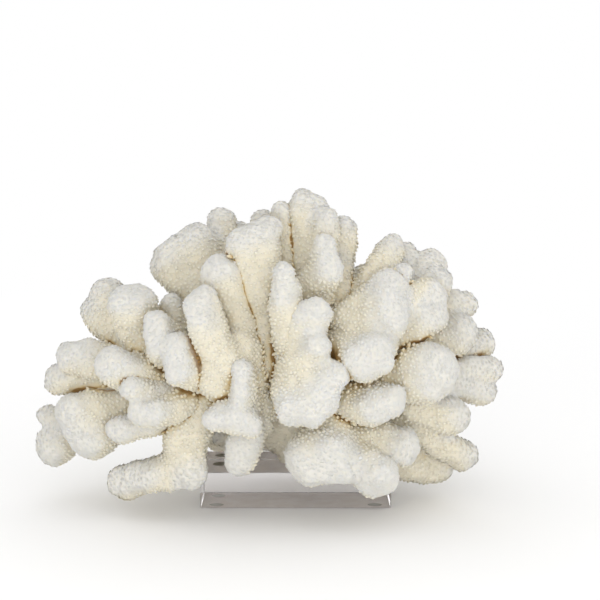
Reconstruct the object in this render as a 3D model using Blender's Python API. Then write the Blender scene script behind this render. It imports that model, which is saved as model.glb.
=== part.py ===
# White branching coral on a clear block with four bumper pads.
# Every length is in metres unless a line says millimetres, and +Z is up.

import math
import random

import bmesh
import bpy
from mathutils import Matrix, Vector

MM = 0.001

# The stand
BLOCK_WIDTH = 127.0 * MM
BLOCK_DEPTH = 50.8 * MM
BLOCK_HEIGHT = 24.5 * MM
BLOCK_EDGE = 0.5 * MM
PAD_DIAMETER = 9.5 * MM
PAD_HEIGHT = 1.6 * MM
PAD_INSET = 10.5 * MM
GAP = 0.3 * MM

# The coral's surface
BALL_DETAIL = 2
VOXEL = 2.2 * MM
SMOOTHING = 0.5
SMOOTHING_STEPS = 7
SKIN = 0.5 * MM
KNOB_LOW = -0.45 * MM
KNOB_HIGH = 0.75 * MM
KNOB_SHARE = 0.15
CUT_CLEARANCE = 0.35 * MM
SHARPEST_CORNER = 3.0
TRUNK_FACES = 600
BRANCH_FACES = 212

BLOCK_BOTTOM = PAD_HEIGHT + GAP
BLOCK_TOP = BLOCK_BOTTOM + BLOCK_HEIGHT
CORAL_CUT = BLOCK_TOP + GAP

# A ball is (across, back, up, radius) in millimetres from the middle of the block's underside:
# +across is to the right and +back is away from the front. A lobe is the smallest rounded form
# that holds its balls, root last or first. Lobes that share a ball make a bent branch.

HEART = (-2, 0, 92, 30)
LEFT_FORK = (-50, -10, 85, 20)
RIGHT_FORK = (45, -8, 90, 22)
TOP_LEFT_FORK = (-38, 5, 112, 18)
TOP_FORK = (-6, -2, 130, 20)
TOP_RIGHT_FORK = (30, -2, 119, 18)
BACK_FORK = (-2, 34, 90, 24)
BACK_LEFT_FORK = (-44, 34, 82, 17)
BACK_RIGHT_FORK = (44, 32, 84, 18)
LOW_FORK = (3, 0, 58, 22)

TRUNK = [
    [(12, 2, 26, 21), LOW_FORK],
    [LOW_FORK, HEART],
    [HEART, LEFT_FORK],
    [LEFT_FORK, (-82, -12, 81, 13)],
    [HEART, RIGHT_FORK],
    [RIGHT_FORK, (72, -8, 91, 14)],
    [HEART, TOP_FORK],
    [HEART, TOP_RIGHT_FORK],
    [HEART, TOP_LEFT_FORK],
    [HEART, BACK_FORK],
    [BACK_FORK, BACK_LEFT_FORK],
    [BACK_FORK, BACK_RIGHT_FORK],
    # Layered ledge at the back of the foot, and a blunt stub under the left side
    [(3, 5, 47, 16), (-15, 22, 38, 10)],
    [(3, 6, 34, 15), (-12, 20, 32, 9)],
    [LOW_FORK, (-38, 14, 50, 10), (-52, 15, 41, 7)],
]

BRANCHES = {
    "left_low": [
        [(-107, -12, 74, 15), (-123, 2, 61, 13), (-152, 0, 49, 12)],
        [(-152, 0, 49, 12), (-162, -5, 39, 14)],
        [(-157, 0, 50, 8), (-168, -2, 59, 7)],
        [(-107, -15, 70, 14), (-144, -32, 69, 12), (-133, -35, 50, 12)],
        [(-90, -14, 82, 13), (-107, -12, 76, 14)],
    ],
    "left_mid": [
        [(-84, -18, 90, 13), (-110, -15, 92, 13)],
        [(-110, -15, 90, 12), (-158, -12, 87, 10)],
        [(-110, -15, 92, 13), (-136, -22, 105, 11), (-146, -22, 103, 11)],
        [(-88, -32, 88, 13), (-108, -48, 100, 11), (-115, -50, 103, 12)],
    ],
    "left_upper": [
        [(-107, -8, 109, 12), (-125, -10, 140, 13), (-131, -10, 129, 13)],
        [(-108, -27, 137, 14), (-103, -25, 140, 13), (-100, -20, 111, 11)],
        [(-104, -14, 110, 12), (-92, -18, 94, 13)],
    ],
    "left_inner": [
        [(-87, -52, 131, 8), (-86, -56, 116, 7), (-66, -26, 95, 12)],
        [(-73, -62, 118, 9), (-72, -66, 103, 9), (-56, -36, 97, 14)],
        [(-82, -15, 138, 7), (-76, -20, 111, 8)],
        [(-76, -20, 111, 8), (-60, -22, 92, 12)],
    ],
    "centre_left": [
        [(-57, -55, 147, 8), (-61, -60, 142, 7), (-59, -66, 134, 8), (-46, -44, 105, 14)],
        [(-46, -50, 161, 12), (-36, -50, 133, 11)],
        [(-36, -50, 133, 11), (-30, -38, 104, 12)],
        [(-46, -44, 105, 14), (-49, -57, 97, 11), (-29, -36, 92, 14)],
    ],
    "top_left": [
        [(-83, 8, 162, 15), (-67, 10, 172, 16), (-54, 2, 138, 14)],
        [(-54, 2, 138, 14), (-42, 5, 116, 15)],
        [(-51, 28, 188, 10), (-48, 14, 150, 10)],
        [(-40, 42, 180, 7), (-42, 20, 146, 10)],
    ],
    "centre": [
        [(-31, -38, 177, 13), (-22, -38, 182, 11), (-17, -32, 189, 8), (-23, -38, 150, 11)],
        [(-23, -38, 150, 11), (-20, -20, 122, 12)],
        [(-22, 5, 192, 7), (-20, -5, 162, 9)],
        [(-20, -5, 162, 9), (-14, -10, 136, 11)],
    ],
    "centre_ridge": [
        [(-9, -8, 197, 7), (-6, -16, 160, 8)],
        [(-6, -16, 160, 8), (-4, -22, 130, 11)],
        [(-7, -66, 164, 7), (-7, -67, 148, 8), (-3, -52, 122, 11)],
        [(-3, -52, 122, 11), (2, -40, 100, 13)],
        [(-4, -22, 130, 11), (0, -40, 112, 10)],
    ],
    "top_centre": [
        [(5, -8, 203, 9), (15, -8, 201, 8), (6, -12, 173, 11)],
        [(6, -12, 173, 11), (8, -16, 138, 12)],
        [(20, -22, 193, 8), (17, -26, 167, 9), (10, -20, 150, 10)],
        [(32, -5, 186, 9), (28, -8, 165, 9)],
        [(28, -8, 165, 9), (16, -12, 136, 12)],
        [(19, -46, 179, 7), (22, -52, 162, 7), (10, -30, 146, 12)],
    ],
    "centre_front": [
        [(7, -68, 137, 11), (11, -72, 139, 10), (8, -48, 114, 12)],
        [(14, -76, 119, 9), (8, -50, 106, 12)],
        [(2, -80, 85, 13), (10, -84, 87, 14), (20, -84, 97, 12), (22, -80, 101, 10), (8, -50, 98, 14)],
        [(8, -50, 98, 14), (8, -34, 96, 14)],
    ],
    "right_top": [
        [(63, -18, 176, 8), (53, -22, 158, 10)],
        [(53, -22, 158, 10), (38, -22, 132, 11)],
        [(75, 5, 169, 7), (71, -5, 149, 9)],
        [(90, 0, 161, 11), (78, -10, 140, 11)],
        [(92, -14, 151, 11), (76, -15, 136, 11)],
        [(71, -8, 147, 10), (50, -14, 126, 12)],
        [(69, -38, 161, 6), (62, -38, 143, 8), (50, -22, 128, 11)],
        [(50, -14, 126, 12), (38, -10, 120, 12)],
    ],
    "right_mid": [
        [(57, -52, 146, 11), (59, -56, 134, 11), (40, -36, 121, 12)],
        [(86, -36, 135, 11), (82, -38, 131, 11), (62, -32, 117, 12)],
        [(48, -72, 115, 13), (41, -70, 111, 13), (30, -46, 112, 13)],
        [(62, -32, 117, 12), (44, -28, 110, 14)],
        [(30, -46, 112, 13), (36, -24, 106, 14)],
    ],
    "right_outer": [
        [(115, 10, 134, 9), (108, 8, 139, 6), (90, 2, 122, 11)],
        [(90, 2, 122, 11), (72, -4, 108, 12)],
        [(110, -10, 119, 11), (106, -10, 114, 11), (84, -8, 106, 12)],
        [(127, 18, 106, 10), (105, 8, 101, 11), (84, 0, 100, 12)],
        [(84, -2, 103, 12), (70, -4, 98, 13)],
    ],
    "right_round": [
        [(85, -48, 100, 18), (81, -50, 94, 15), (58, -36, 92, 13)],
        [(59, -68, 85, 10), (48, -66, 80, 11), (32, -48, 82, 11)],
        [(58, -36, 92, 13), (36, -30, 84, 14)],
        [(32, -48, 82, 11), (30, -30, 82, 13)],
    ],
    "right_low": [
        [(130, 0, 91, 9), (103, -8, 90, 10)],
        [(127, 0, 76, 9), (103, -8, 82, 9)],
        [(103, -8, 87, 11), (76, -12, 82, 12)],
        [(103, -24, 64, 12), (76, -24, 70, 11)],
        [(111, -8, 34, 11), (84, -18, 52, 10)],
        [(100, 8, 17, 8), (78, 0, 28, 9)],
        [(78, 0, 28, 9), (66, -8, 48, 12)],
        [(84, -18, 52, 10), (76, -18, 70, 12), (64, -8, 50, 12)],
        [(76, -14, 78, 12), (60, -12, 80, 13)],
    ],
    "right_front_low": [
        [(66, -58, 55, 11), (63, -58, 48, 12), (41, -45, 59, 13)],
        [(5, -62, 44, 13), (28, -66, 45, 14), (19, -62, 52, 14), (25, -42, 62, 13)],
        [(53, -70, 39, 11), (50, -70, 35, 10), (36, -55, 47, 11)],
        [(41, -45, 59, 13), (25, -42, 62, 13), (24, -24, 72, 14)],
    ],
    "left_front_low": [
        [(-33, -70, 104, 6), (-34, -72, 89, 6), (-30, -50, 81, 9)],
        [(-50, -70, 75, 7), (-37, -74, 76, 8), (-27, -70, 71, 7), (-34, -50, 76, 10)],
        [(-32, -50, 58, 10), (-28, -50, 58, 9), (-35, -55, 43, 10)],
        [(-34, -50, 76, 10), (-30, -48, 60, 10), (-22, -30, 72, 12)],
    ],
    "left_bottom": [
        [(-58, -36, 76, 13), (-71, -42, 53, 14)],
        [(-71, -42, 53, 14), (-74, -45, 35, 12)],
        [(-74, -45, 35, 12), (-94, -46, 32, 9), (-93, -52, 31, 8)],
        [(-94, -46, 32, 10), (-110, -38, 24, 12)],
        [(-66, -52, 34, 9), (-70, -48, 45, 12)],
        [(-58, -36, 76, 13), (-50, -20, 78, 13)],
    ],
    "left_front_mid": [
        [(-103, -60, 91, 7), (-87, -42, 83, 10)],
        [(-98, -62, 76, 7), (-86, -66, 76, 8), (-71, -42, 78, 11)],
        [(-113, -48, 61, 8), (-106, -50, 62, 8), (-81, -36, 67, 9)],
        [(-87, -40, 82, 10), (-71, -40, 78, 11), (-81, -36, 68, 9), (-64, -24, 80, 12)],
    ],
    "back_left_low": [
        [(-52, 38, 78, 14), (-80, 38, 66, 14)],
        [(-80, 38, 66, 14), (-112, 40, 58, 12), (-117, 44, 49, 11)],
        [(-80, 38, 66, 14), (-100, 58, 76, 12)],
        [(-80, 38, 66, 14), (-88, 62, 50, 13)],
        [(-80, 38, 66, 14), (-108, 28, 80, 10)],
        [(-80, 38, 66, 14), (-70, 50, 38, 11)],
    ],
    "back_left_mid": [
        [(-50, 40, 90, 14), (-62, 50, 101, 14)],
        [(-62, 50, 101, 14), (-90, 50, 114, 12)],
        [(-62, 50, 101, 14), (-86, 68, 97, 12)],
        [(-62, 50, 101, 14), (-66, 78, 109, 12), (-58, 79, 102, 11)],
        [(-62, 50, 101, 14), (-56, 68, 82, 12)],
    ],
    "back_left_top": [
        [(-42, 22, 116, 13), (-48, 38, 130, 13)],
        [(-48, 38, 130, 13), (-69, 44, 147, 11)],
        [(-48, 38, 130, 13), (-52, 52, 151, 11), (-43, 56, 147, 10)],
        [(-48, 38, 130, 13), (-58, 64, 131, 11)],
        [(-48, 38, 130, 13), (-30, 58, 133, 10)],
    ],
    "back_top": [
        [(-8, 14, 126, 14), (-8, 30, 146, 14)],
        [(-8, 30, 146, 14), (-20, 34, 178, 9), (-12, 37, 180, 9)],
        [(-8, 30, 146, 14), (8, 38, 176, 9)],
        [(-8, 30, 146, 14), (-20, 57, 163, 10)],
        [(-8, 30, 146, 14), (6, 60, 160, 11)],
        [(-8, 30, 146, 14), (20, 32, 158, 9)],
    ],
    "back_right_top": [
        [(34, 14, 118, 13), (48, 32, 128, 14)],
        [(48, 32, 128, 14), (62, 34, 152, 10), (67, 38, 147, 10)],
        [(48, 32, 128, 14), (36, 50, 145, 10)],
        [(48, 32, 128, 14), (75, 42, 131, 12)],
        [(48, 32, 128, 14), (56, 63, 129, 12)],
        [(48, 32, 128, 14), (40, 66, 111, 10)],
    ],
    "back_right": [
        [(54, 30, 88, 14), (80, 34, 97, 14)],
        [(80, 34, 97, 14), (103, 36, 113, 10)],
        [(80, 34, 97, 14), (111, 41, 91, 12)],
        [(80, 34, 97, 14), (91, 60, 106, 11)],
        [(80, 34, 97, 14), (80, 66, 86, 12)],
        [(80, 34, 97, 14), (101, 53, 74, 11)],
    ],
    "back_right_low": [
        [(44, 36, 74, 14), (58, 44, 60, 14)],
        [(58, 44, 60, 14), (87, 42, 52, 11)],
        [(58, 44, 60, 14), (72, 68, 58, 12)],
        [(58, 44, 60, 14), (51, 73, 44, 11), (43, 73, 49, 10)],
        [(58, 44, 60, 14), (74, 48, 33, 10)],
    ],
    "back_centre": [
        [(-3, 46, 92, 15), (-4, 62, 98, 15)],
        [(-4, 62, 98, 15), (-27, 83, 106, 12), (-20, 86, 98, 11)],
        [(-4, 62, 98, 15), (9, 88, 111, 12)],
        [(-4, 62, 98, 15), (18, 85, 84, 12)],
        [(-4, 62, 98, 15), (-11, 90, 81, 12)],
        [(-4, 62, 98, 15), (30, 70, 99, 10)],
        [(-4, 62, 98, 15), (-16, 72, 128, 10)],
    ],
    "back_low": [
        [(-4, 38, 74, 15), (-6, 50, 58, 15)],
        [(-6, 50, 58, 15), (-31, 71, 51, 12), (-24, 76, 44, 11)],
        [(-6, 50, 58, 15), (5, 79, 57, 12)],
        [(-6, 50, 58, 15), (14, 68, 31, 11)],
        [(-6, 50, 58, 15), (-13, 62, 26, 10)],
        [(-6, 50, 58, 15), (-39, 56, 34, 10)],
    ],
}


def clear_scene():
    for found in list(bpy.data.objects):
        bpy.data.objects.remove(found, do_unlink=True)


def make_material(name, colour, roughness, transmission=0.0, ior=1.5):
    material = bpy.data.materials.new(name)
    material.use_nodes = True
    shader = material.node_tree.nodes["Principled BSDF"]
    shader.inputs["Base Color"].default_value = (*colour, 1.0)
    shader.inputs["Roughness"].default_value = roughness
    shader.inputs["Metallic"].default_value = 0.0
    shader.inputs["Transmission Weight"].default_value = transmission
    shader.inputs["IOR"].default_value = ior
    material.diffuse_color = (*colour, 1.0)
    return material


def new_object(name, mesh, material):
    made = bpy.data.objects.new(name, mesh)
    mesh.materials.clear()
    mesh.materials.append(material)
    bpy.context.scene.collection.objects.link(made)
    return made


def mesh_from(bm, name):
    mesh = bpy.data.meshes.new(name)
    bm.to_mesh(mesh)
    bm.free()
    return mesh


def ball_directions():
    bm = bmesh.new()
    bmesh.ops.create_icosphere(bm, subdivisions=BALL_DETAIL, radius=1.0)
    directions = [vertex.co.copy() for vertex in bm.verts]
    bm.free()
    return directions


def lobe_mesh(balls, directions):
    """The rounded form that wraps a lobe's balls."""
    bm = bmesh.new()
    for across, back, up, radius in balls:
        middle = Vector((across, back, up)) * MM
        reach = radius * MM + SKIN
        for direction in directions:
            bm.verts.new(middle + direction * reach)
    hull = bmesh.ops.convex_hull(bm, input=bm.verts[:])
    loose = {v for v in hull["geom_interior"] + hull["geom_unused"] if isinstance(v, bmesh.types.BMVert)}
    bmesh.ops.delete(bm, geom=list(loose), context="VERTS")
    return mesh_from(bm, "lobe")


def lobes_mesh(lobes, directions):
    bm = bmesh.new()
    for balls in lobes:
        piece = lobe_mesh(balls, directions)
        bm.from_mesh(piece)
        bpy.data.meshes.remove(piece)
    return mesh_from(bm, "lobes")


def apply_modifiers(made):
    """Replaces the object's mesh with what its modifiers make of it."""
    bpy.context.view_layer.update()
    graph = bpy.context.evaluated_depsgraph_get()
    shaped = bpy.data.meshes.new_from_object(made.evaluated_get(graph), depsgraph=graph)
    shaped.name = made.name
    made.modifiers.clear()
    made.data = shaped


def fuse_lobes(made):
    """One skin over all the lobes, with the creases between them filled."""
    remesh = made.modifiers.new("fuse", "REMESH")
    remesh.mode = "VOXEL"
    remesh.voxel_size = VOXEL
    smooth = made.modifiers.new("ease", "SMOOTH")
    smooth.factor = SMOOTHING
    smooth.iterations = SMOOTHING_STEPS
    apply_modifiers(made)


def facet(made, faces):
    """Broad flat facets in place of the fine skin."""
    made.data.calc_loop_triangles()
    decimate = made.modifiers.new("facet", "DECIMATE")
    decimate.ratio = min(1.0, faces / len(made.data.loop_triangles))
    decimate.use_collapse_triangulate = True
    apply_modifiers(made)


def roughen(made, seed):
    """Knobbly surface: each corner stands a little in or out."""
    dice = random.Random(seed)
    bm = bmesh.new()
    bm.from_mesh(made.data)
    bm.normal_update()
    moves = []
    for vertex in bm.verts:
        room = KNOB_SHARE * min(edge.calc_length() for edge in vertex.link_edges)
        moves.append(vertex.normal * max(-room, min(room, dice.uniform(KNOB_LOW, KNOB_HIGH))))
    for vertex, move in zip(bm.verts, moves):
        vertex.co += move
    bm.to_mesh(made.data)
    bm.free()


def swollen_copy(made):
    """A slightly larger copy, to cut a neighbour back with a clear gap."""
    bm = bmesh.new()
    bm.from_mesh(made.data)
    bm.normal_update()
    moves = [
        vertex.normal * CUT_CLEARANCE * min(vertex.calc_shell_factor(), SHARPEST_CORNER)
        for vertex in bm.verts
    ]
    for vertex, move in zip(bm.verts, moves):
        vertex.co += move
    return mesh_from(bm, made.name + "_room")


def box_of(mesh):
    corners = [vertex.co for vertex in mesh.vertices]
    low = Vector(min(corner[i] for corner in corners) for i in range(3))
    high = Vector(max(corner[i] for corner in corners) for i in range(3))
    return low, high


def boxes_meet(one, other):
    low, high = box_of(one)
    other_low, other_high = box_of(other)
    return all(low[i] < other_high[i] and other_low[i] < high[i] for i in range(3))


def cut_back(made, room):
    """Takes another shape away from the object."""
    cutter = bpy.data.objects.new("cutter", room)
    cutter.hide_render = True
    cutter.display_type = "WIRE"
    bpy.context.scene.collection.objects.link(cutter)
    cut = made.modifiers.new("cut", "BOOLEAN")
    cut.operation = "DIFFERENCE"
    cut.solver = "MANIFOLD"
    cut.object = cutter
    apply_modifiers(made)
    bpy.data.objects.remove(cutter, do_unlink=True)


def islands(bm):
    """The separate bodies of a mesh, as lists of vertices."""
    left = set(bm.verts)
    found = []
    while left:
        body = set()
        reached = [left.pop()]
        while reached:
            vertex = reached.pop()
            body.add(vertex)
            for edge in vertex.link_edges:
                other = edge.other_vert(vertex)
                if other in left:
                    left.discard(other)
                    reached.append(other)
        found.append(body)
    return found


def keep_largest(made):
    """Drops the crumbs that a cut leaves beside the main body."""
    bm = bmesh.new()
    bm.from_mesh(made.data)
    bmesh.ops.triangulate(bm, faces=bm.faces[:])
    bodies = sorted(islands(bm), key=len)
    for body in bodies[:-1]:
        bmesh.ops.delete(bm, geom=list(body), context="VERTS")
    bm.to_mesh(made.data)
    bm.free()


def stand_room():
    """The space of the clear block and all below its top, which the coral stays out of."""
    bm = bmesh.new()
    size = (BLOCK_WIDTH + 2 * GAP, BLOCK_DEPTH + 2 * GAP, CORAL_CUT + 0.02)
    place = Matrix.Translation((0.0, 0.0, CORAL_CUT - size[2] / 2))
    bmesh.ops.create_cube(bm, size=1.0, matrix=place @ Matrix.Diagonal((*size, 1.0)))
    return mesh_from(bm, "stand_room")


def grow(name, lobes, faces, seed, material, directions):
    made = new_object(name, lobes_mesh(lobes, directions), material)
    fuse_lobes(made)
    facet(made, faces)
    roughen(made, seed)
    return made


def make_coral(material):
    """The trunk first, then each branch cut back from the room of all that grew before it."""
    directions = ball_directions()
    trunk = grow("trunk", TRUNK, TRUNK_FACES, 1, material, directions)
    grown = [trunk]
    rooms = [swollen_copy(trunk)]
    cut_back(trunk, stand_room())
    keep_largest(trunk)
    for seed, (name, lobes) in enumerate(BRANCHES.items(), start=2):
        branch = grow("branch_" + name, lobes, BRANCH_FACES, seed, material, directions)
        own_room = swollen_copy(branch)
        for room in rooms:
            if boxes_meet(branch.data, room):
                cut_back(branch, room)
        cut_back(branch, stand_room())
        keep_largest(branch)
        grown.append(branch)
        rooms.append(own_room)
    return grown


def make_block(material):
    bm = bmesh.new()
    size = (BLOCK_WIDTH, BLOCK_DEPTH, BLOCK_HEIGHT, 1.0)
    place = Matrix.Translation((0.0, 0.0, BLOCK_BOTTOM + BLOCK_HEIGHT / 2))
    bmesh.ops.create_cube(bm, size=1.0, matrix=place @ Matrix.Diagonal(size))
    bmesh.ops.bevel(bm, geom=bm.edges[:], offset=BLOCK_EDGE, segments=1, affect="EDGES")
    return new_object("clear_block", mesh_from(bm, "clear_block"), material)


def make_pad(name, across, back, material):
    bm = bmesh.new()
    place = Matrix.Translation((across, back, PAD_HEIGHT / 2))
    radius = PAD_DIAMETER / 2
    bmesh.ops.create_cone(
        bm, cap_ends=True, segments=16, radius1=radius * 0.92, radius2=radius,
        depth=PAD_HEIGHT, matrix=place,
    )
    return new_object(name, mesh_from(bm, name), material)


def make_pads(material):
    across = BLOCK_WIDTH / 2 - PAD_INSET
    back = BLOCK_DEPTH / 2 - PAD_INSET
    pads = []
    for end, row in (("front", -back), ("back", back)):
        for side, column in (("left", -across), ("right", across)):
            pads.append(make_pad(f"pad_{end}_{side}", column, row, material))
    return pads


def centre_on_floor(objects):
    """Puts the middle of the whole part's outline, seen from above, over the origin."""
    boxes = [box_of(made.data) for made in objects]
    low = [min(box[0][i] for box in boxes) for i in range(3)]
    high = [max(box[1][i] for box in boxes) for i in range(3)]
    shift = Vector((-(low[0] + high[0]) / 2, -(low[1] + high[1]) / 2, -low[2]))
    for made in objects:
        made.data.transform(Matrix.Translation(shift))


def shade(objects):
    for made in objects:
        made.data.shade_smooth()
        made.data.set_sharp_from_angle(angle=math.radians(35))


def main():
    clear_scene()
    coral = make_material("coral", (0.82, 0.79, 0.70), 0.75)
    acrylic = make_material("clear_acrylic", (0.97, 0.97, 0.98), 0.03, transmission=1.0, ior=1.49)
    rubber = make_material("clear_rubber", (0.62, 0.58, 0.50), 0.35)
    objects = make_coral(coral)
    objects.append(make_block(acrylic))
    objects.extend(make_pads(rubber))
    centre_on_floor(objects)
    shade(objects)


main()
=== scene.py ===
import math

import bmesh
import bpy
import numpy as np
from mathutils import Matrix, Vector
from mathutils.bvhtree import BVHTree


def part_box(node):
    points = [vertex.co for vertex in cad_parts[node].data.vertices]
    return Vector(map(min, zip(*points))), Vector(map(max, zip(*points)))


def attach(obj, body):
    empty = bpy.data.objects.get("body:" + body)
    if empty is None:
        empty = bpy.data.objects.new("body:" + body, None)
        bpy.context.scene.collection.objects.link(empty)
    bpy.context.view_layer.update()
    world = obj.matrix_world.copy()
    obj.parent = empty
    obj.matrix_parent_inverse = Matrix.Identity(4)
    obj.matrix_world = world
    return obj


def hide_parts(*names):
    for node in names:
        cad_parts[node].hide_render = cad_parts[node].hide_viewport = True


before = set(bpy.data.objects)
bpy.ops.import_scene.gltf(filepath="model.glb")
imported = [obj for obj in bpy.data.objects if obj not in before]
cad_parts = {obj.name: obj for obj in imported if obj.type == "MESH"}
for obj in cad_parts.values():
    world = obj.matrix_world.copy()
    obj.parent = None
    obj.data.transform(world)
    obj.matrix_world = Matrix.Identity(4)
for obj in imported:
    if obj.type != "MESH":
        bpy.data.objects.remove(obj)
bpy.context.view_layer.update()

# White branching coral on a clear block. Lengths are in metres unless a line says mm, and +Z is up.

mm = 0.001
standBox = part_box("clear_block")
standMiddle = Vector(((standBox[0].x + standBox[1].x) / 2, (standBox[0].y + standBox[1].y) / 2, 0))

# A ball is (across, back, up, radius) in mm, from the middle of the block at the level of the table.
# A lobe is the smallest rounded form that holds its balls. Lobes that share a ball make a bent finger.
heart = (-2, 0, 92, 30)
leftFork = (-50, -10, 85, 20)
rightFork = (45, -8, 90, 22)
topLeftFork = (-38, 5, 112, 18)
topFork = (-6, -2, 130, 20)
topRightFork = (30, -2, 119, 18)
backFork = (-2, 34, 90, 24)
backLeftFork = (-44, 34, 82, 17)
backRightFork = (44, 32, 84, 18)
lowFork = (3, 0, 58, 22)

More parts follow.
